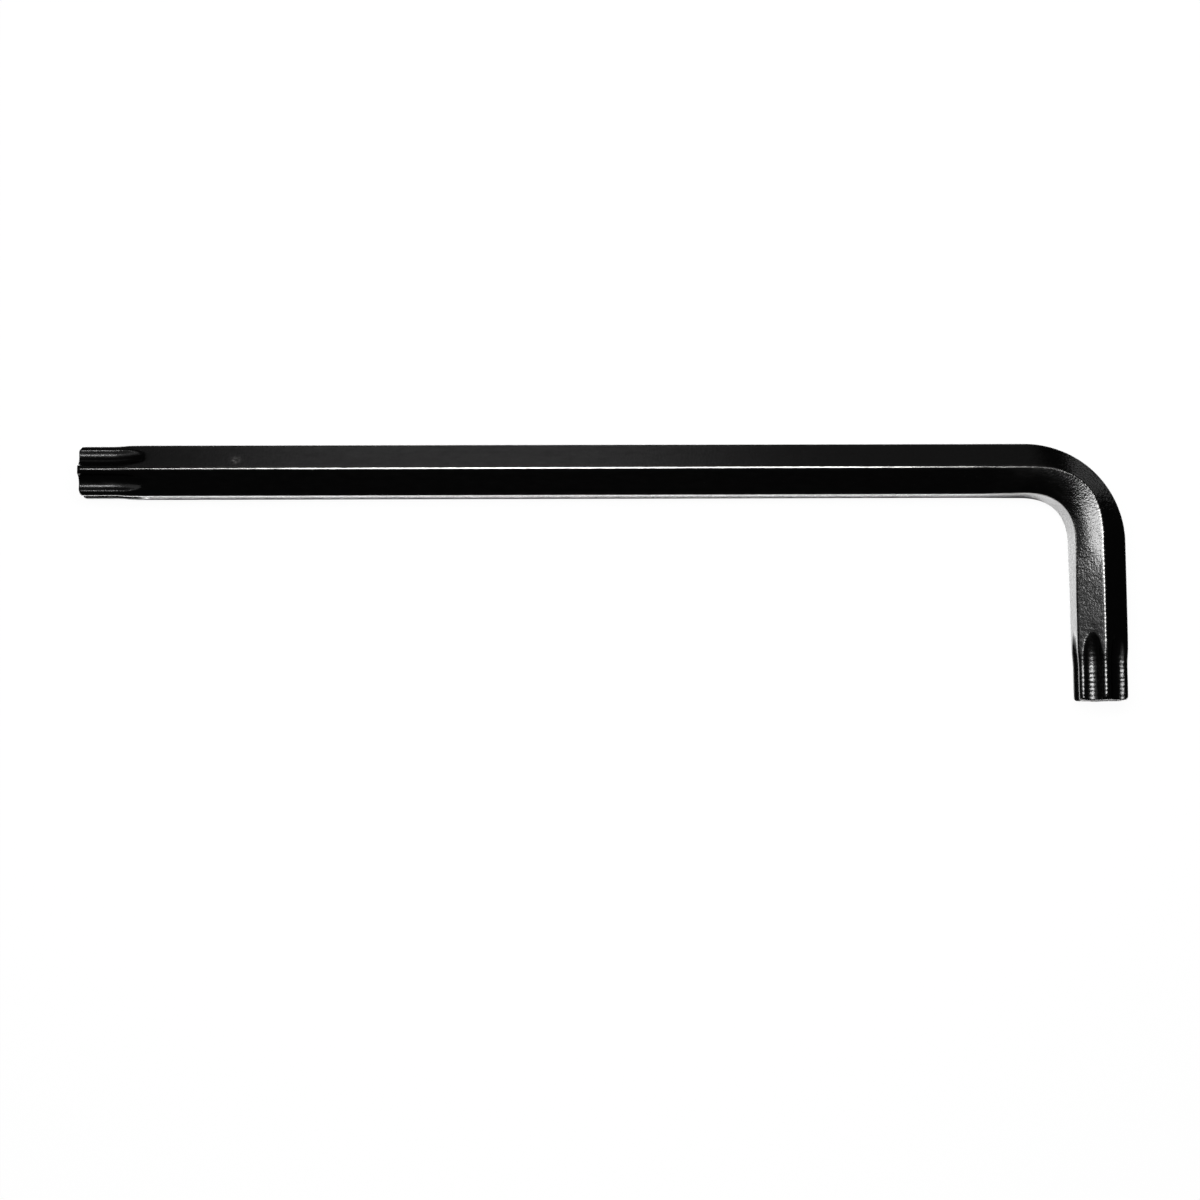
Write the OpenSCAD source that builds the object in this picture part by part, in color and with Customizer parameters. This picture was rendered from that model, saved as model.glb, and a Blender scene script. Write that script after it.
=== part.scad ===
// Star key: an L-shaped key bent from one hexagonal bar, with a six-lobed star milled on both ends.
// It lies on its side: X runs along the long arm, the short arm points to -Y, and Z is up.
// All sizes are in millimetres.

/* [Bar] */
// Width of the hexagonal bar across its flats
across_flats = 8; // [7.6:0.1:9]
// Radius of the bar's six rounded corners
corner_radius = 0.45; // [0.2:0.05:0.8]

/* [Arms] */
// Length of the long arm, from its end to the outer flat of the short arm
long_arm = 163.5; // [80:0.5:240]
// Height of the short arm, from its end to the outer flat of the long arm
short_arm = 40.4; // [36:0.2:80]
// Radius of the bend, on the bar's centre line
bend_radius = 11.6; // [8:0.2:16]

/* [Star] */
// Diameter over the six lobes
lobe_diameter = 8.7; // [8.2:0.05:8.9]
// Diameter at the bottom of the six flutes
flute_diameter = 6.1; // [5.8:0.02:7]
// Radius of each lobe's rounded crest
lobe_radius = 0.7; // [0.6:0.02:1]
// Length of the star that has its full depth
star_length = 5; // [3:0.25:8]
// Radius of the milling cutter, which leaves the flutes' curved ends
cutter_radius = 16; // [8:1:25]
// Width of the chamfer around each end
end_chamfer = 0.4; // [0.1:0.05:0.6]

/* [Hidden] */
$fn = 96;
black_oxide = "#1c1c1e";

sides = 6;
turn = 360 / sides;
half_turn = turn / 2;
// Reach of a cutting shape past what it cuts
past = 2;
// Depth by which two arcs of an outline cross where they meet, so that the edge between them is clean
crossing = 0.005;
// Angle before the top of a lobe where the cutter leaves the lobe's arc, and the angle at which it lifts off
crest_angle = 5;
crest_lift = 12;

// Bar
half_flats = across_flats / 2;
corner_centre = (half_flats - corner_radius + crossing) / cos(half_turn);
half_corners = corner_centre + corner_radius;

// Star: the flute's arc is found from the triangle of bar axis, lobe centre and flute centre
lobe_tip = lobe_diameter / 2;
lobe_centre = lobe_tip - lobe_radius * (cos(crest_angle) + sin(crest_angle) * tan(crest_lift));
lobe_x = lobe_centre * cos(half_turn);
lobe_y = lobe_centre * sin(half_turn);
lobe_reach = lobe_radius - crossing;
flute_bottom = flute_diameter / 2;
flute_radius = (lobe_centre ^ 2 + flute_bottom ^ 2 - lobe_reach ^ 2 - 2 * flute_bottom * lobe_x)
    / (2 * (lobe_x + lobe_reach - flute_bottom));
flute_centre = flute_bottom + flute_radius;

// Cutter: it runs straight along the star, then climbs out of the bar on its own radius
cutter_axis = flute_bottom + cutter_radius;
climb = half_flats - flute_bottom + past;
climb_angle = acos(1 - climb / cutter_radius);

// Arms
long_straight = long_arm - half_flats - bend_radius;
short_straight = short_arm - half_flats - bend_radius;

function polar(radius, angle) = radius * [cos(angle), sin(angle)];

// Section of the bar: a hexagon with a flat towards +X and its corners rounded
module bar_section() {
    flat_width = 2 * corner_centre * sin(half_turn);
    intersection() {
        rotate(half_turn) circle(r = half_flats / cos(half_turn), $fn = sides);
        for (side = [0 : sides - 1])
            rotate(turn * side) {
                translate([0, -flat_width / 2]) square([across_flats, flat_width]);
                rotate(half_turn) translate([corner_centre, 0]) circle(r = corner_radius);
            }
    }
}

// Section of the cutter at a flute that faces +X: the flute's arc, and half a lobe on either side
module cutter_section() {
    lobe = [lobe_x, lobe_y];
    flute = [flute_centre, 0];
    blend = lobe + (flute - lobe) * lobe_reach / norm(flute - lobe);
    crest = lobe + polar(lobe_radius, half_turn - crest_angle);
    lift = polar(1, half_turn + 90 - crest_lift);
    tuck = lobe_radius * sin(crest_angle);
    edge = [crest + past * lift, crest - tuck * lift, lobe, blend];
    back = half_corners + past;
    difference() {
        polygon(concat(
            [[back, edge[0].y]], edge,
            [for (i = [len(edge) - 1 : -1 : 0]) [edge[i].x, -edge[i].y]],
            [[back, -edge[0].y]]));
        for (up = [-1, 1]) translate([lobe_x, up * lobe_y]) circle(r = lobe_radius);
    }
    intersection() {
        translate(flute) circle(r = flute_radius);
        translate([0, -half_corners]) square([half_corners, 2 * half_corners]);
    }
}

// One pass of the cutter, along the +X flat of a bar that ends at Z = 0
module cutter_pass() {
    translate([0, 0, -past]) linear_extrude(past + star_length) cutter_section();
    translate([cutter_axis, 0, star_length])
        rotate([90, 0, 0])
            rotate_extrude(angle = -climb_angle, start = 180)
                translate([cutter_axis, 0]) mirror([1, 0]) cutter_section();
}

// All that is cut off a bar that ends at Z = 0: one pass for each flat, and the chamfer on the end
module star_cut() {
    for (side = [0 : sides - 1]) rotate(turn * side) cutter_pass();
    chamfer_start = lobe_tip - end_chamfer;
    rotate_extrude()
        polygon([
            [chamfer_start - past, -past],
            [chamfer_start + past, -past],
            [chamfer_start + past, past]]);
}

// The whole key: one bar, straight along both arms and round the bend, with both ends milled
module key() {
    color(black_oxide)
        translate([-long_arm / 2, short_arm / 2 - half_flats, half_corners])
            difference() {
                union() {
                    rotate([90, 0, 90]) linear_extrude(long_straight) bar_section();
                    translate([long_straight, -bend_radius, 0]) {
                        rotate_extrude(angle = 90) translate([bend_radius, 0]) bar_section();
                        translate([bend_radius, 0, 0])
                            rotate([90, 0, 0]) linear_extrude(short_straight) bar_section();
                    }
                }
                rotate([90, 0, 90]) star_cut();
                translate([long_arm - half_flats, half_flats - short_arm, 0])
                    rotate([-90, 0, 0]) star_cut();
            }
}

key();
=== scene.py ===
"""Star key: models the blackened key at its frame's size, and the plain white studio that it lies in."""
import math
from typing import NamedTuple

import bmesh
import bpy
from bpy.props import FloatProperty, FloatVectorProperty, PointerProperty
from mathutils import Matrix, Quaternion, Vector


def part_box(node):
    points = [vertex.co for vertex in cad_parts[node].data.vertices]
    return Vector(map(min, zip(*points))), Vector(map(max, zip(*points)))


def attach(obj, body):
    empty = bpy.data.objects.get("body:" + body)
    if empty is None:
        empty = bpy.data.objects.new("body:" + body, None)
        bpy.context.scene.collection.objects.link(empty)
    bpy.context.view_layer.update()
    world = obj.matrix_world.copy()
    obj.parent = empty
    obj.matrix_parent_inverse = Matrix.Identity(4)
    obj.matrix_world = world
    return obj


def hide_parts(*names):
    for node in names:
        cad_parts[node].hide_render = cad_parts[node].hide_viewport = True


bl_info = {
    "name": "Star Key",
    "version": (1, 0, 0),
    "blender": (4, 5, 0),
    "location": "View3D > Sidebar > Star Key",
    "description": "Models a black L-shaped star key and the white studio around it",
    "category": "Object",
}

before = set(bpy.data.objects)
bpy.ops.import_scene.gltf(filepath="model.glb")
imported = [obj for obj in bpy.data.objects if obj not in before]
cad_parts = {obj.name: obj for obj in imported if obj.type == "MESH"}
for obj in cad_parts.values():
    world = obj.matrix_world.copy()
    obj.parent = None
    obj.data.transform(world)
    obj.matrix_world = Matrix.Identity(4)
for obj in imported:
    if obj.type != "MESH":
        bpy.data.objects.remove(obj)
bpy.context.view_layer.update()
key_low, key_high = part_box("key")

MM = 0.001
SIDES = 6
TURN = math.tau / SIDES
HALF_TURN = TURN / 2


def linear(hex_colour):
    """Turns an sRGB hex colour into the linear RGBA that Blender's sockets hold."""
    channels = [int(hex_colour[i : i + 2], 16) / 255 for i in (1, 3, 5)]
    return [c / 12.92 if c <= 0.04045 else ((c + 0.055) / 1.055) ** 2.4 for c in channels] + [1.0]


def length(name, description, millimetres):
    """A length property, with its default in millimetres."""
    return FloatProperty(
        name=name,
        description=description,
        default=millimetres * MM,
        unit="LENGTH",
        subtype="DISTANCE",
        precision=5,
    )


def share(name, description, default):
    """A share property, from 0 to 1."""
    return FloatProperty(name=name, description=description, default=default, min=0, max=1, subtype="FACTOR")


def colour(name, description, hex_colour):
    """A colour property, with its default as an sRGB hex value."""
    return FloatVectorProperty(
        name=name,
        description=description,
        default=linear(hex_colour),
        size=4,
        min=0,
        max=1,
        subtype="COLOR",
    )


class KeySizes(bpy.types.PropertyGroup):
    """Sizes of the bar, its bend and its stars"""

    across_flats: length("Across flats", "Width of the hexagonal bar across its flats", 8)
    corner_radius: length("Corner radius", "Radius of the bar's six rounded corners", 0.45)
    bend_radius: length("Bend radius", "Radius of the bend on the bar's centre line", 11.6)
    lobe_diameter: length("Lobe diameter", "Diameter over the star's six lobes", 8.7)
    flute_diameter: length("Flute diameter", "Diameter at the bottom of the star's six flutes", 6.1)
    lobe_radius: length("Lobe radius", "Radius of each lobe's rounded crest", 0.7)
    star_length: length("Star length", "Length of the star at its full depth", 5)
    cutter_radius: length("Cutter radius", "Radius of the cutter, which leaves the flutes' curved ends", 16)
    end_chamfer: length("End chamfer", "Width of the chamfer around each end", 0.4)
    edge_break: length("Edge break", "Radius of the tumbled edges around the flutes and the ends", 0.12)
    corner_shift: length("Corner shift", "Distance by which the bend draws the top corner outwards", 0.97)
    inner_shift: length("Inner shift", "Distance by which the bend draws the inner flat outwards", 0.45)
    swell: length("Swell", "Height that the press adds to the bend's inner edges", 0.5)
    crown: length("Crown", "Height by which the flats beside the inner edges bulge", 0.22)
    swell_reach: length("Swell reach", "Length of each arm over which the swelling fades", 9)


class BlackOxide(bpy.types.PropertyGroup):
    """Colours and marks of the blackened steel"""

    steel: colour("Blackened steel", "Colour of the black oxide", "#434343")
    # The worn colour is bare steel on the rubbed corners, and also a painted highlight along them
    worn_highlight: colour("Worn steel", "Colour where the oxide is rubbed thin on the corners", "#9a9997")
    roughness: share("Roughness", "Mean roughness of the oiled oxide", 0.2)
    pit_size: length("Pit size", "Spacing of the shallow pits left by tumbling", 0.3)
    pit_depth: length("Pit depth", "Depth of the shallow pits in the bend", 0.05)
    long_pits: share("Long pits", "Depth of the long arm's pits, as a share of the bend's", 0.36)
    short_pits: share("Short pits", "Depth of the short arm's pits, as a share of the bend's", 0.5)
    ripple_pitch: length("Ripple pitch", "Spacing of the fine ripples across the bent end of the bar", 0.6)
    ripple_depth: length("Ripple depth", "Depth of the ripples", 0.035)
    chatter_pitch: length("Chatter pitch", "Spacing of the waves that the cutter left on the short arm", 0.7)
    chatter_depth: length("Chatter depth", "Depth of the waves on the short star", 0.012)
    line_width: length("Line width", "Width of the lines that drawing left along the bar", 0.25)
    line_depth: length("Line depth", "Depth of the drawn lines", 0.006)


class StageSizes(bpy.types.PropertyGroup):
    """Sizes of the floor, its painted pool of light and shadow, and the camera's lens"""

    floor_radius: length("Floor radius", "Radius of the white floor", 3000)
    # Width of the painted shadow in the mirrored paper along the long arm
    painted_shadow_width: length("Bright start", "Distance from the long arm at which the lit paper starts", 0.9)
    # Reach of the painted pool of light around the key, in the paper that the flats mirror
    painted_pool_reach: length("Bright reach", "Distance from the key over which the lit paper fades", 14)
    camera_lens: FloatProperty(name="Lens", description="Focal length of the lens", default=66, unit="CAMERA")


def edit(obj):
    """Makes one object the only selected one and opens it in edit mode."""
    bpy.ops.object.select_all(action="DESELECT")
    obj.select_set(True)
    bpy.context.view_layer.objects.active = obj
    bpy.ops.object.mode_set(mode="EDIT")


def select(obj, kind, test):
    """Selects the edges or the faces that pass a test, in edit mode."""
    bpy.ops.mesh.select_mode(type=kind)
    bpy.ops.mesh.select_all(action="DESELECT")
    mesh = bmesh.from_edit_mesh(obj.data)
    for element in mesh.edges if kind == "EDGE" else mesh.faces:
        element.select_set(test(element))
    bmesh.update_edit_mesh(obj.data)


# Divisions of the section, and steps along each stretch of the bar
CORNER_SEGMENTS = 12
FLAT_CUTS = 31
CHAMFER_STEPS = 14
MILLED_STEPS = 80
SHANK_STEPS = 10
CROWN_STEPS = 14
BEND_STEPS = 60
NECK_STEPS = 3

# Share of the way from the axis to a flat past which a point lies on it
ON_FLAT = 0.999
# Power of the swelling's fading by which the crown fades, which keeps it close to the bend
CROWN_FADE = 6
# Width of the ring of faces around each end's face
END_RING = 0.05 * MM
# Distance under which two vertices are one
MERGED = 0.0001 * MM
# Steepest angle between two faces that still shade as one surface
SMOOTH_ANGLE = math.radians(40)


def extrude(way, steps):
    """Draws the selected loop along a way, in equal steps."""
    for _ in range(steps):
        bpy.ops.mesh.extrude_region_move(TRANSFORM_OT_translate={"value": way / steps})


class KeyForm:
    """Places and lengths worked out from the key's sizes and its frame."""

    def __init__(self, sizes):
        self.half_flats = sizes.across_flats / 2
        self.level = (key_low.z + key_high.z) / 2
        self.long_end = Vector((key_low.x, key_high.y - self.half_flats, self.level))
        self.short_end = Vector((key_high.x - self.half_flats, key_low.y, self.level))
        self.bend_centre = Vector(
            (self.short_end.x - sizes.bend_radius, self.long_end.y - sizes.bend_radius, self.level)
        )
        self.bend_radius = sizes.bend_radius
        self.long_straight = self.bend_centre.x - self.long_end.x
        self.short_straight = self.bend_centre.y - self.short_end.y
        self.bend_end = self.long_straight + sizes.bend_radius * math.pi / 2
        self.bar_length = self.bend_end + self.short_straight
        self.chamfered = 2 * sizes.end_chamfer
        climb = self.half_flats - sizes.flute_diameter / 2
        run_out = math.sqrt(climb * (2 * sizes.cutter_radius - climb))
        spare = sizes.across_flats / 8
        self.milled = sizes.star_length + run_out + spare - self.chamfered

    def unbend(self, point):
        """A point's place on the straight bar (along it, outwards and up), and the way outwards there."""
        from_centre = point - self.bend_centre
        turned = min(max(math.atan2(from_centre.x, from_centre.y), 0), math.pi / 2)
        outward = Vector((math.sin(turned), math.cos(turned), 0))
        along = self.long_straight + turned * self.bend_radius
        if from_centre.x < 0:
            along, outward = self.long_straight + from_centre.x, Vector((0, 1, 0))
        elif from_centre.y < 0:
            along, outward = self.bend_end - from_centre.y, Vector((1, 0, 0))
        return Vector((along, from_centre.dot(outward) - self.bend_radius, from_centre.z)), outward

    def pressed(self, along):
        """Share of the press that a place along the bar gets: none at the bend's ends, all in its middle."""
        turned = min(max((along - self.long_straight) / self.bend_radius, 0), math.pi / 2)
        return math.sin(2 * turned) ** 2


def add_bar_section(sizes, form):
    """Adds the bar's hexagonal section at the long arm's end: its corners rounded, its flats divided."""
    bpy.ops.object.select_all(action="DESELECT")
    bpy.ops.mesh.primitive_circle_add(
        vertices=SIDES,
        radius=form.half_flats / math.cos(HALF_TURN),
        fill_type="NGON",
        location=form.long_end,
        rotation=(math.pi / 2, 0, math.pi / 2),
    )
    key = bpy.context.object
    key.name = "star_key"
    key.data.name = "star_key"
    bpy.ops.object.transform_apply(location=True, rotation=True, scale=True)
    edit(key)
    bpy.ops.mesh.select_all(action="SELECT")
    bpy.ops.mesh.bevel(
        offset=sizes.corner_radius * math.tan(HALF_TURN), segments=CORNER_SEGMENTS, affect="VERTICES"
    )
    shortest_flat = sizes.across_flats / 4
    select(key, "EDGE", lambda edge: edge.calc_length() > shortest_flat)
    bpy.ops.mesh.subdivide(number_cuts=FLAT_CUTS)
    bpy.ops.mesh.select_all(action="SELECT")
    bpy.ops.mesh.delete(type="ONLY_FACE")
    bpy.ops.mesh.select_all(action="SELECT")
    return key


def draw_bar(sizes, form):
    """Draws the section along the long arm, round the bend and down the short arm."""
    along, down = Vector((1, 0, 0)), Vector((0, -1, 0))
    shank = form.long_straight - form.chamfered - form.milled - sizes.swell_reach
    neck = form.short_straight - form.chamfered - form.milled - sizes.swell_reach
    extrude(along * form.chamfered, CHAMFER_STEPS)
    extrude(along * form.milled, MILLED_STEPS)
    extrude(along * shank, SHANK_STEPS)
    extrude(along * sizes.swell_reach, CROWN_STEPS)
    bpy.ops.mesh.spin(steps=BEND_STEPS, angle=math.pi / 2, center=form.bend_centre, axis=(0, 0, 1))
    extrude(down * sizes.swell_reach, CROWN_STEPS)
    extrude(down * neck, NECK_STEPS)
    extrude(down * form.milled, MILLED_STEPS)
    extrude(down * form.chamfered, CHAMFER_STEPS)


def softly(first, second, radius):
    """The smaller of two lengths, with the corner between them rounded off."""
    return (first + second - math.hypot(first - second, radius)) / 2


class StarForm:
    """The star's outline: six lobe arcs and six flute arcs that run into each other."""

    def __init__(self, sizes):
        self.sizes = sizes
        self.tip = sizes.lobe_diameter / 2
        self.lobe = sizes.lobe_radius
        centre = self.tip - self.lobe
        self.lobe_x = centre * math.cos(HALF_TURN)
        self.lobe_y = centre * math.sin(HALF_TURN)
        bottom = sizes.flute_diameter / 2
        self.flute = (centre**2 + bottom**2 - self.lobe**2 - 2 * bottom * self.lobe_x) / (
            2 * (self.lobe_x + self.lobe - bottom)
        )
        self.flute_x = bottom + self.flute
        lobe_share = self.lobe / (self.lobe + self.flute)
        self.blend_x = self.lobe_x + (self.flute_x - self.lobe_x) * lobe_share
        self.blend_y = self.lobe_y * (1 - lobe_share)

    def lift(self, depth):
        """Height of the cutter over the flute's bottom, at a distance from the end."""
        past = max(depth - self.sizes.star_length, 0)
        return self.sizes.cutter_radius - math.sqrt(self.sizes.cutter_radius**2 - past**2)

    def radius(self, turned, lift):
        """Distance from the bar's axis to the milled surface, in a direction from a flute's middle."""
        turned = abs(turned)
        across, along = math.sin(turned), math.cos(turned)
        if turned < math.atan2(self.blend_y, self.blend_x + lift):
            middle = self.flute_x + lift
            return middle * along - math.sqrt(self.flute**2 - (middle * across) ** 2)
        lobe_x = self.lobe_x + lift
        aside = self.lobe_y * along - lobe_x * across
        return lobe_x * along + self.lobe_y * across + math.sqrt(self.lobe**2 - aside**2)


def mill_stars(key, sizes, form):
    """Mills the six flutes and the chamfer into both ends of the bar."""
    star = StarForm(sizes)
    for vertex in key.data.vertices:
        place, outward = form.unbend(vertex.co)
        depth = max(min(place.x, form.bar_length - place.x), 0)
        if depth > form.chamfered + form.milled:
            continue
        bar = math.hypot(place.y, place.z)
        turned = math.atan2(place.z, place.y)
        sector = (turned + HALF_TURN) % TURN - HALF_TURN
        milled = softly(bar, star.radius(sector, star.lift(depth)), sizes.edge_break)
        milled = softly(milled, star.tip - sizes.end_chamfer + depth, sizes.edge_break)
        rest = max(sizes.edge_break - depth, 0)
        milled -= sizes.edge_break - math.sqrt(sizes.edge_break**2 - rest**2)
        vertex.co += (outward * math.cos(turned) + Vector((0, 0, math.sin(turned)))) * (milled - bar)


def press_bend(key, sizes, form):
    """Presses the bend: its corners move outwards and its inner side grows fuller, fading along the arms."""
    half_width = form.half_flats * math.tan(HALF_TURN)
    flat_reach = half_width - sizes.corner_radius * math.tan(HALF_TURN)
    crest = key_high.z - form.level
    for vertex in key.data.vertices:
        place, outward = form.unbend(vertex.co)
        away = max(form.long_straight - place.x, place.x - form.bend_end, 0)
        if away > sizes.swell_reach:
            continue
        fade = 0.5 + 0.5 * math.cos(math.pi * away / sizes.swell_reach)
        drawn = form.pressed(place.x)
        aside = abs(place.y) / form.half_flats
        if place.y > 0:
            vertex.co += outward * drawn * sizes.corner_shift * (1 - aside)
            continue
        shift = sizes.corner_shift + (sizes.inner_shift - sizes.corner_shift) * aside
        vertex.co += outward * drawn * shift
        up = Vector((0, 0, math.copysign(1, place.z)))
        height = abs(place.z)
        rise = min(height / half_width, (crest - height) / (crest - half_width))
        vertex.co += up * fade * sizes.swell * rise
        normal = up * math.cos(HALF_TURN) - outward * math.sin(HALF_TURN)
        tangent = up * math.sin(HALF_TURN) + outward * math.cos(HALF_TURN)
        in_section = outward * place.y + Vector((0, 0, place.z))
        across = in_section.dot(tangent) / flat_reach
        if in_section.dot(normal) > form.half_flats * ON_FLAT and abs(across) < 1:
            vertex.co += normal * fade**CROWN_FADE * sizes.crown * (1 - across**2)


# Half-width of the rubbed stretch on a corner, in corner radii: worn steel that is also a painted highlight
RUBBED_WIDTH = 0.8
# Share of the rubbing that the bend's middle is spared, which dims the corner's painted highlight there
BEND_HIGHLIGHT_CUT = 0.9
# Share of the rubbing that the stars are spared, which lie lower than the bar's corners; it dims their
# painted highlight too
STAR_SPARED = 0.75
# Length of bar past each star over which the rubbing, and with it the painted highlight, sets in
RUBBED_START = 20 * MM


def mark_wear_and_highlight(key, sizes, form):
    """Notes on each vertex how much its corner of the bar is rubbed, which lightens it as worn steel and as a
    painted highlight.
    """
    key.data.attributes.new("wear_and_highlight", "FLOAT", "POINT")
    for vertex, noted in zip(key.data.vertices, key.data.attributes["wear_and_highlight"].data):
        place, _ = form.unbend(vertex.co)
        from_corner = math.atan2(place.z, place.y) % TURN - HALF_TURN
        aside = math.hypot(place.y, place.z) * abs(math.sin(from_corner))
        depth = min(place.x, form.bar_length - place.x)
        milled = min(max((sizes.star_length + RUBBED_START - depth) / RUBBED_START, 0), 1)
        rubbed = (1 - STAR_SPARED * milled) * (1 - BEND_HIGHLIGHT_CUT * form.pressed(place.x))
        noted.value = max(1 - aside / (sizes.corner_radius * RUBBED_WIDTH), 0) * rubbed


def mark_place(key, form):
    """Notes on each vertex its place on the straight bar."""
    key.data.attributes.new("bar_place", "FLOAT_VECTOR", "POINT")
    for vertex, noted in zip(key.data.vertices, key.data.attributes["bar_place"].data):
        noted.vector = form.unbend(vertex.co)[0]


def close_ends(key):
    """Closes both ends with a flat face, and turns all faces outwards."""
    edit(key)
    bpy.ops.mesh.select_all(action="SELECT")
    bpy.ops.mesh.fill_holes(sides=0)
    select(key, "FACE", lambda face: len(face.verts) > 4)
    bpy.ops.mesh.inset(thickness=END_RING, use_individual=True)
    bpy.ops.mesh.select_all(action="SELECT")
    bpy.ops.mesh.remove_doubles(threshold=MERGED)
    bpy.ops.mesh.normals_make_consistent(inside=False)
    bpy.ops.object.mode_set(mode="OBJECT")
    bpy.ops.object.shade_smooth_by_angle(angle=SMOOTH_ANGLE)


def add_node(tree, kind, inputs=None, **settings):
    """Adds a node with its settings; its inputs take values, sockets or the first outputs of nodes."""
    node = tree.nodes.new(kind)
    for name, value in settings.items():
        setattr(node, name, value)
    for name, value in (inputs or {}).items():
        if isinstance(value, bpy.types.Node):
            value = value.outputs[0]
        if isinstance(value, bpy.types.NodeSocket):
            tree.links.new(value, node.inputs[name])
        else:
            node.inputs[name].default_value = value
    return node


def new_material(name):
    """An empty node material with its output."""
    material = bpy.data.materials.new(name)
    material.use_nodes = True
    material.node_tree.nodes.clear()
    return material, material.node_tree, add_node(material.node_tree, "ShaderNodeOutputMaterial")


# Least share of its rubbing, and of its painted highlight, that a corner shows between two blotches
LEAST_RUBBED = 0.4
# Share of the rubbing that the gaps between the short arm's painted glint dots are spared
GLINT_GAP_SPARED = 0.9
# Share of the pits that rubbing takes off a corner
CORNER_POLISH = 0.85

# Width of a ripple in its pitches, length of a drawn line in its widths, and size of a blotch in pits
RIPPLE_WIDTH = 2.5
LINE_LENGTH = 40
BLOTCH_LENGTH = 6
BLOTCH_WIDTH = 2
# Radians in each unit of a wave texture's coordinates at scale 1, and how far its waves stray
WAVE_RADIANS = 20
WAVE_STRAYING = 0.6
# Distances from the short end at which the cutter's waves start and are at full depth
WAVES_START = 8 * MM
WAVES_FULL = 4 * MM
# Levels of a pattern between which rubbed blotches, rubbed dots that paint glints, scuffs and sheen go from
# none to full
BLOTCH_LEVELS = (0.35, 0.6)
GLINT_DOT_LEVELS = (0.4, 0.7)
SCUFF_LEVELS = (0.4, 0.55)
SHEEN_LEVELS = (0.3, 0.7)
# Difference between the mean roughness and the roughest or the smoothest blotch
SHEEN_SPREAD = 0.03
# Knocks that broke the black: their places along the bar, outwards and up, and their radii, in millimetres
SCUFFS = (((24.4, 1.4, 3.8), 1.0), ((171.3, -3.6, 2.5), 0.4))


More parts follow.
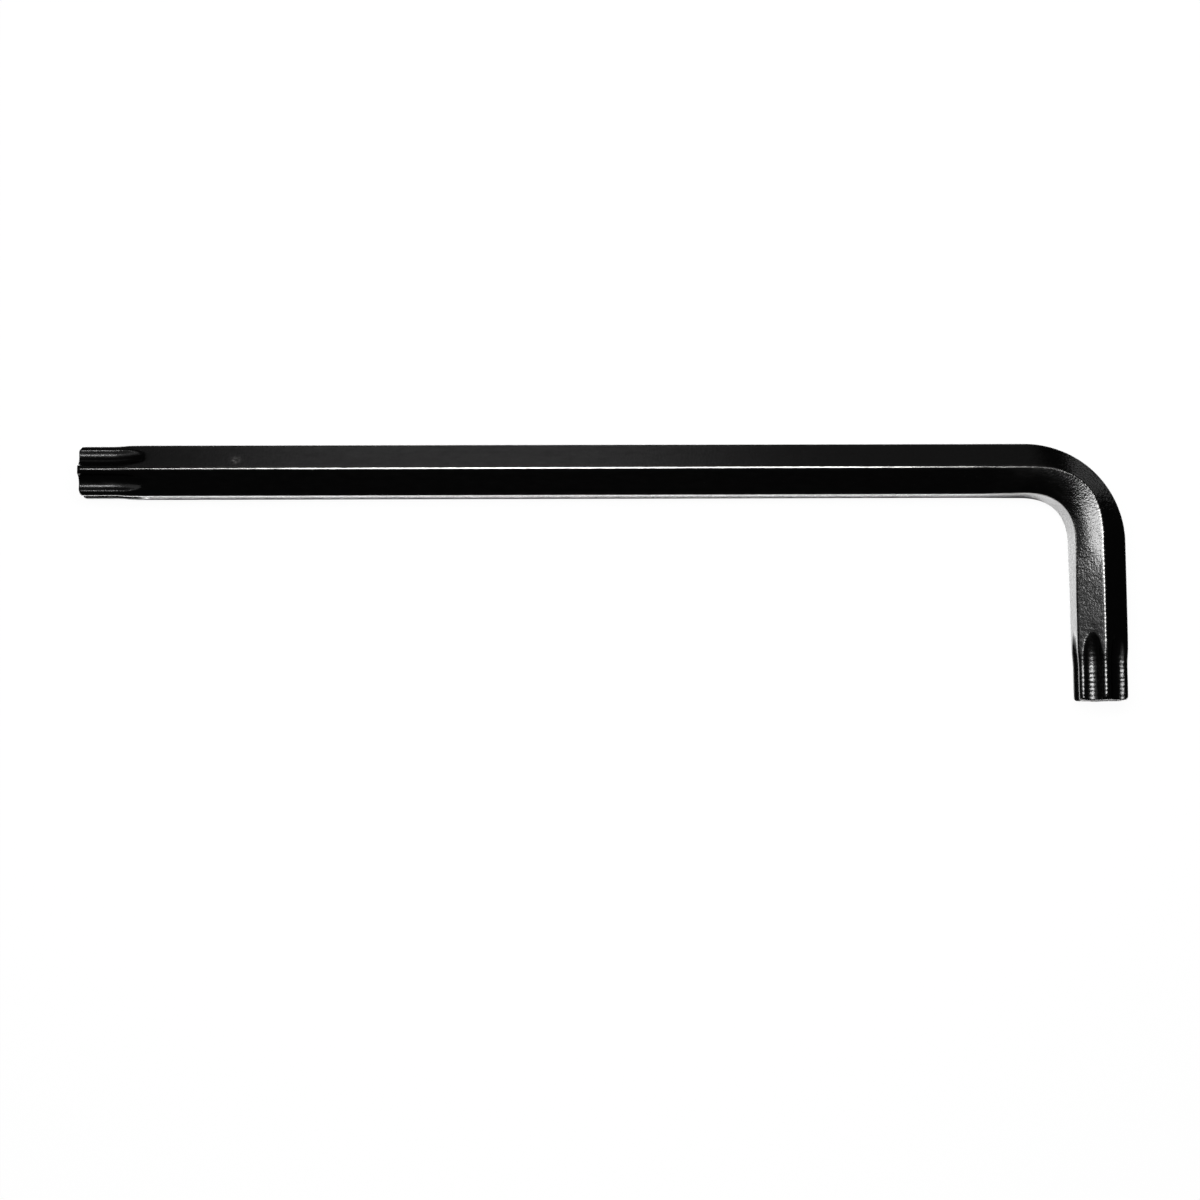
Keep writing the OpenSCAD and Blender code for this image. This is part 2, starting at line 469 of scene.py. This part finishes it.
def black_oxide_steel(finish, form):
    """Tool steel, blackened in a hot salt bath and oiled: a deep black with a satin gloss, finely pitted."""
    material, tree, output = new_material("black_oxide_steel")
    bar_place = add_node(tree, "ShaderNodeAttribute", attribute_name="bar_place").outputs["Vector"]
    # How much each corner is rubbed, which also places the painted highlight on it
    wear_and_highlight = add_node(tree, "ShaderNodeAttribute", attribute_name="wear_and_highlight").outputs["Fac"]
    along = add_node(tree, "ShaderNodeSeparateXYZ", {"Vector": bar_place}).outputs["X"]

    # Marks of the drawing die run along the bar, and ripples from the bending run across it
    marks = {}
    for name, pitch_along, pitch_across, detail in (
        ("pits", finish.pit_size, finish.pit_size, 2),
        ("ripples", finish.ripple_pitch, finish.ripple_pitch * RIPPLE_WIDTH, 1),
        ("lines", finish.line_width * LINE_LENGTH, finish.line_width, 2),
        ("blotches", finish.pit_size * BLOTCH_LENGTH, finish.pit_size * BLOTCH_WIDTH, 3),
    ):
        scale = (1 / pitch_along, 1 / pitch_across, 1 / pitch_across)
        scaled = add_node(tree, "ShaderNodeMapping", {"Vector": bar_place, "Scale": scale})
        noise = {"Vector": scaled, "Scale": 1.0, "Detail": detail}
        marks[name] = add_node(tree, "ShaderNodeTexNoise", noise)

    # The steel that was worked in the bend, and heated for it, is rougher than on the arms
    bend_middle = (form.long_straight + form.bend_end) / 2
    short_middle = form.bend_end + form.short_straight / 2
    worked = {"Value": along, "From Min": form.long_straight, "From Max": form.bend_end}
    worked = add_node(tree, "ShaderNodeMapRange", worked)
    pitted = {"Value": along, "From Min": form.long_straight, "From Max": bend_middle}
    pitted = add_node(tree, "ShaderNodeMapRange", {**pitted, "To Min": finish.long_pits})
    calmed = {"Value": along, "From Min": form.bend_end, "From Max": short_middle, "To Min": 1.0}
    calmed = add_node(tree, "ShaderNodeMapRange", {**calmed, "To Max": finish.short_pits})
    pitted = add_node(tree, "ShaderNodeMath", {0: pitted, 1: calmed}, operation="MULTIPLY")
    polished = {0: wear_and_highlight, 1: -CORNER_POLISH, 2: 1.0}
    polished = add_node(tree, "ShaderNodeMath", polished, operation="MULTIPLY_ADD")
    pits = add_node(tree, "ShaderNodeMath", {0: marks["pits"], 1: polished}, operation="MULTIPLY")
    pits = add_node(tree, "ShaderNodeMath", {0: pits, 1: pitted}, operation="MULTIPLY")
    ripples = add_node(tree, "ShaderNodeMath", {0: marks["ripples"], 1: worked}, operation="MULTIPLY")

    # The cutter left waves across the short star
    pitch = math.tau / WAVE_RADIANS / finish.chatter_pitch
    waves = {"Vector": bar_place, "Scale": pitch, "Distortion": WAVE_STRAYING, "Detail": 0.0}
    waves = add_node(tree, "ShaderNodeTexWave", waves, bands_direction="X")
    start, full = form.bar_length - WAVES_START, form.bar_length - WAVES_FULL
    short_star = {"Value": along, "From Min": start, "From Max": full}
    short_star = add_node(tree, "ShaderNodeMapRange", short_star)
    chatter = add_node(tree, "ShaderNodeMath", {0: waves, 1: short_star}, operation="MULTIPLY")

    height = add_node(tree, "ShaderNodeMath", {0: pits, 1: finish.pit_depth}, operation="MULTIPLY")
    for mark, depth in (
        (marks["lines"], finish.line_depth),
        (ripples, finish.ripple_depth),
        (chatter, finish.chatter_depth),
    ):
        added = {0: mark, 1: depth, 2: height}
        height = add_node(tree, "ShaderNodeMath", added, operation="MULTIPLY_ADD")
    bump = add_node(tree, "ShaderNodeBump", {"Height": height, "Distance": 1.0, "Strength": 1.0})

    # Rubbed corners are worn steel, and their lighter colour is also a painted highlight
    # Corners are rubbed in blotches, and past the bend only on the waves' crests, as a row of painted glint
    # dots
    low, high = BLOTCH_LEVELS
    blotched = {"Value": marks["blotches"], "From Min": low, "From Max": high, "To Min": LEAST_RUBBED}
    rubbed = add_node(tree, "ShaderNodeMapRange", blotched)
    rubbed = add_node(tree, "ShaderNodeMath", {0: wear_and_highlight, 1: rubbed}, operation="MULTIPLY")
    # Dots of painted glint along the short arm's corner, on the waves' crests
    low, high = GLINT_DOT_LEVELS
    gaps = {"Value": waves, "From Min": low, "From Max": high, "To Min": 1.0, "To Max": 0.0}
    gaps = add_node(tree, "ShaderNodeMapRange", gaps)
    gaps = add_node(tree, "ShaderNodeMath", {0: gaps, 1: worked}, operation="MULTIPLY")
    kept = add_node(tree, "ShaderNodeMath", {0: gaps, 1: -GLINT_GAP_SPARED, 2: 1.0}, operation="MULTIPLY_ADD")
    rubbed = add_node(tree, "ShaderNodeMath", {0: rubbed, 1: kept}, operation="MULTIPLY")

    low, high = SCUFF_LEVELS
    broken = {"Value": marks["pits"], "From Min": low, "From Max": high}
    broken = add_node(tree, "ShaderNodeMapRange", broken)
    for place, radius in SCUFFS:
        places = {0: bar_place, 1: Vector(place) * MM}
        apart = add_node(tree, "ShaderNodeVectorMath", places, operation="DISTANCE").outputs["Value"]
        scuffed = {"Value": apart, "From Max": radius * MM, "To Min": 1.0, "To Max": 0.0}
        scuffed = add_node(tree, "ShaderNodeMapRange", scuffed)
        added = {0: scuffed, 1: broken, 2: rubbed}
        rubbed = add_node(tree, "ShaderNodeMath", added, operation="MULTIPLY_ADD")

    # The worn colour on rubbed corners: wear, and a painted highlight along them
    tones = {"Factor": rubbed, "A": finish.steel, "B": finish.worn_highlight}
    tone = add_node(tree, "ShaderNodeMix", tones, data_type="RGBA").outputs["Result"]
    low, high = SHEEN_LEVELS
    sheen = {"Value": marks["blotches"], "From Min": low, "From Max": high}
    sheen["To Min"] = finish.roughness - SHEEN_SPREAD
    sheen["To Max"] = finish.roughness + SHEEN_SPREAD
    roughness = add_node(tree, "ShaderNodeMapRange", sheen)
    surface = {"Base Color": tone, "Metallic": 1.0, "Roughness": roughness, "Normal": bump}
    shader = add_node(tree, "ShaderNodeBsdfPrincipled", surface)
    tree.links.new(shader.outputs["BSDF"], output.inputs["Surface"])
    return material


class STAR_KEY_OT_add_key(bpy.types.Operator):
    """Model the key: one hexagonal bar, bent once, with a star milled on both ends"""

    bl_idname = "star_key.add_key"
    bl_label = "Add Key"

    def execute(self, context):
        sizes = context.scene.star_key_sizes
        form = KeyForm(sizes)
        key = add_bar_section(sizes, form)
        draw_bar(sizes, form)
        bpy.ops.object.mode_set(mode="OBJECT")
        mark_wear_and_highlight(key, sizes, form)
        press_bend(key, sizes, form)
        mill_stars(key, sizes, form)
        close_ends(key)
        mark_place(key, form)
        key.data.materials.append(black_oxide_steel(context.scene.star_key_finish, form))
        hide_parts("key")
        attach(key, "root")
        return {"FINISHED"}


# Colours of the paper that throws light back at the key, and of the part of it that takes shadows to the eye
WHITE_PAPER = "#e8e8e8"
SHADED_PAPER = "#404040"
# Colours that the flats mirror away from the painted pool of light: the paper in painted shade and the dim
# room
PAINTED_DARK_PAPER = "#303030"
DIM_ROOM = "#262626"
# Glow that, with the shaded part, makes the paper plain white to the eye
PAPER_GLOW = 0.96
# Strength of the painted pool of light on the paper that the flats mirror, where more than 1 is over-exposed
PAINTED_POOL_STRENGTH = 2.2
# Painted light that is added close to the straight of the long arm, whose lower flat is seen almost edge on
PAINTED_GLOW_STRENGTH = 2.3
# Distances from the long arm between which that painted light fades
PAINTED_GLOW_START = 2 * MM
PAINTED_GLOW_END = 5 * MM
# Distance at which the painted shadow by the long arm gives way to full strength, as a multiple of its width
PAINTED_SHADOW_FULL = 1.3
FLOOR_SIDES = 96


def white_paper(stage):
    """Matt white paper, plain white to the eye; where the key's flats mirror it, a painted pool of light and
    shadow.
    """
    material, tree, output = new_material("white_paper")
    rays = add_node(tree, "ShaderNodeLightPath").outputs
    place = add_node(tree, "ShaderNodeTexCoord").outputs["Object"]
    sizes = bpy.context.scene.star_key_sizes
    width = sizes.across_flats
    outer_corner = Vector((key_high.x, key_high.y, 0))
    distances = []
    for inner_corner in ((key_low.x, key_high.y - width, 0), (key_high.x - width, key_low.y, 0)):
        middle = (outer_corner + Vector(inner_corner)) / 2
        half = (outer_corner - Vector(inner_corner)) / 2
        aside = add_node(tree, "ShaderNodeVectorMath", {0: place, 1: middle}, operation="SUBTRACT")
        aside = add_node(tree, "ShaderNodeVectorMath", {0: aside}, operation="ABSOLUTE")
        aside = add_node(tree, "ShaderNodeVectorMath", {0: aside, 1: half}, operation="SUBTRACT")
        aside = add_node(tree, "ShaderNodeVectorMath", {0: aside, 1: (0, 0, 0)}, operation="MAXIMUM")
        distance = add_node(tree, "ShaderNodeVectorMath", {0: aside}, operation="LENGTH")
        distances.append(distance.outputs["Value"])
    apart = add_node(tree, "ShaderNodeMath", dict(enumerate(distances)), operation="MINIMUM")
    # A painted pool of light in the mirrored paper, fading with distance from the key
    fading = {"Value": apart, "From Max": stage.painted_pool_reach, "To Min": 1.0, "To Max": 0.0}
    beside = add_node(tree, "ShaderNodeMapRange", fading, interpolation_type="SMOOTHSTEP")
    # A painted shadow in the mirrored paper along the long arm, standing for the shade in the gap under its
    # edge
    start, full = stage.painted_shadow_width, stage.painted_shadow_width * PAINTED_SHADOW_FULL
    painted_shadow_edge = {"Value": distances[0], "From Min": start, "From Max": full}
    clear = add_node(tree, "ShaderNodeMapRange", painted_shadow_edge, interpolation_type="SMOOTHSTEP")
    beside = add_node(tree, "ShaderNodeMath", {0: beside, 1: clear}, operation="MULTIPLY")

    # Painted extra light in the mirrored paper close to the long arm's straight
    bend_start = key_high.x - width / 2 - sizes.bend_radius
    along = add_node(tree, "ShaderNodeSeparateXYZ", {"Vector": place}).outputs["X"]
    straight = {"Value": along, "From Min": bend_start - width, "From Max": bend_start}
    straight = add_node(tree, "ShaderNodeMapRange", {**straight, "To Min": 1.0, "To Max": 0.0})
    close = {"Value": distances[0], "From Min": PAINTED_GLOW_START, "From Max": PAINTED_GLOW_END}
    close = add_node(tree, "ShaderNodeMapRange", {**close, "To Min": PAINTED_GLOW_STRENGTH, "To Max": 0.0})
    added = {0: straight, 1: close, 2: PAINTED_POOL_STRENGTH}
    painted_strength = add_node(tree, "ShaderNodeMath", added, operation="MULTIPLY_ADD")
    # The mirrored paper: the painted pool of light near the key, and paper in painted shade away from it
    painted_papers = {"Factor": beside, "A": linear(PAINTED_DARK_PAPER), "B": painted_strength}
    paper = add_node(tree, "ShaderNodeMix", painted_papers, data_type="RGBA").outputs["Result"]
    painted_reflected_paper = add_node(tree, "ShaderNodeBsdfDiffuse", {"Color": paper})
    plain = add_node(tree, "ShaderNodeBsdfDiffuse", {"Color": linear(WHITE_PAPER)})
    shaded = add_node(tree, "ShaderNodeBsdfDiffuse", {"Color": linear(SHADED_PAPER)})
    glow = add_node(tree, "ShaderNodeEmission", {"Color": (1, 1, 1, 1), "Strength": PAPER_GLOW})
    white = add_node(tree, "ShaderNodeAddShader", {0: shaded, 1: glow})
    in_metal = {0: rays["Is Glossy Ray"], 1: rays["Is Transmission Ray"]}
    in_metal = add_node(tree, "ShaderNodeMath", in_metal, operation="MAXIMUM")
    lit = add_node(tree, "ShaderNodeMixShader", {0: in_metal, 1: plain, 2: painted_reflected_paper})
    seen = add_node(tree, "ShaderNodeMixShader", {0: rays["Is Camera Ray"], 1: lit, 2: white})
    tree.links.new(seen.outputs["Shader"], output.inputs["Surface"])
    return material


def add_floor(stage):
    """Adds the white floor."""
    bpy.ops.object.select_all(action="DESELECT")
    bpy.ops.mesh.primitive_circle_add(vertices=FLOOR_SIDES, radius=stage.floor_radius, fill_type="NGON")
    floor = bpy.context.object
    floor.name = "floor"
    floor.data.materials.append(white_paper(stage))


class Lamp(NamedTuple):
    """A soft lamp: its place, aim and size in millimetres, its radiance, and its turn in degrees."""

    name: str
    place: tuple
    aim: tuple
    width: float
    height: float
    radiance: float
    turn: float = 0


LAMPS = (
    Lamp("strip_light", (4, 33, 250), (4, 33, 0), 168, 90, 15, 15),
    Lamp("strip_end", (-125, 45, 250), (-125, 45, 0), 40, 12, 32),
    Lamp("back_wall", (-40, 480, 190), (-20, 18, 8), 520, 120, 0.12),
    Lamp("back_glow", (-36, 470, 195), (-20, 18, 8), 165, 80, 0.6),
    Lamp("left_wall", (-300, 40, 300), (75, 0, 8), 200, 200, 0.35),
    Lamp("right_wall", (330, 240, 60), (75, 13, 8), 150, 110, 0.9),
)


def add_lamp(lamp):
    """Adds a soft lamp that the camera doesn't see."""
    place, aim = Vector(lamp.place) * MM, Vector(lamp.aim) * MM
    width, height = lamp.width * MM, lamp.height * MM
    bpy.ops.object.select_all(action="DESELECT")
    facing = (place - aim).to_track_quat("Z", "Y") @ Quaternion((0, 0, 1), math.radians(lamp.turn))
    bpy.ops.object.light_add(type="AREA", location=place, rotation=facing.to_euler())
    light = bpy.context.object
    light.name = lamp.name
    light.data.name = lamp.name
    light.data.shape = "RECTANGLE"
    light.data.size = width
    light.data.size_y = height
    light.data.energy = lamp.radiance * width * height * math.pi
    light.visible_camera = False


# The camera's place in millimetres, its turn in degrees and its sensor's width in millimetres
CAMERA_PLACE = (-9.53, -34.35, 347.75)
CAMERA_TURN = (5.052, -1.43, -0.342)
SENSOR_WIDTH = 36


class STAR_KEY_OT_add_stage(bpy.types.Operator):
    """Set up the white floor, the soft lamps, the dim room and the camera"""

    bl_idname = "star_key.add_stage"
    bl_label = "Add Stage"

    def execute(self, context):
        scene = context.scene
        stage = scene.star_key_stage
        add_floor(stage)
        for lamp in LAMPS:
            add_lamp(lamp)
        world = bpy.data.worlds.new("dim_room")
        world.use_nodes = True
        background = world.node_tree.nodes["Background"]
        background.inputs["Color"].default_value = linear(DIM_ROOM)
        background.inputs["Strength"].default_value = 1.0
        scene.world = world
        bpy.ops.object.camera_add(
            location=Vector(CAMERA_PLACE) * MM,
            rotation=[math.radians(turned) for turned in CAMERA_TURN],
        )
        camera = context.object
        camera.name = "camera"
        camera.data.sensor_width = SENSOR_WIDTH
        camera.data.lens = stage.camera_lens
        scene.camera = camera
        scene.view_settings.view_transform = "Standard"
        return {"FINISHED"}


class STAR_KEY_PT_panel(bpy.types.Panel):
    """Sidebar panel with the key's sizes and finish, and the operators that make it"""

    bl_idname = "STAR_KEY_PT_panel"
    bl_label = "Star Key"
    bl_space_type = "VIEW_3D"
    bl_region_type = "UI"
    bl_category = "Star Key"

    def draw(self, context):
        scene = context.scene
        for group in (scene.star_key_sizes, scene.star_key_finish, scene.star_key_stage):
            box = self.layout.box()
            for name in group.__annotations__:
                box.prop(group, name)
        self.layout.operator(STAR_KEY_OT_add_key.bl_idname)
        self.layout.operator(STAR_KEY_OT_add_stage.bl_idname)


CLASSES = (
    KeySizes,
    BlackOxide,
    StageSizes,
    STAR_KEY_OT_add_key,
    STAR_KEY_OT_add_stage,
    STAR_KEY_PT_panel,
)


def register():
    """Registers the classes, and gives the scene its settings."""
    for each in CLASSES:
        bpy.utils.register_class(each)
    bpy.types.Scene.star_key_sizes = PointerProperty(type=KeySizes)
    bpy.types.Scene.star_key_finish = PointerProperty(type=BlackOxide)
    bpy.types.Scene.star_key_stage = PointerProperty(type=StageSizes)


def unregister():
    """Takes the scene's settings and the classes away again."""
    del bpy.types.Scene.star_key_stage
    del bpy.types.Scene.star_key_finish
    del bpy.types.Scene.star_key_sizes
    for each in reversed(CLASSES):
        bpy.utils.unregister_class(each)


def main():
    """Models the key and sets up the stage."""
    register()
    bpy.ops.star_key.add_key()
    bpy.ops.star_key.add_stage()


if __name__ == "__main__":
    main()
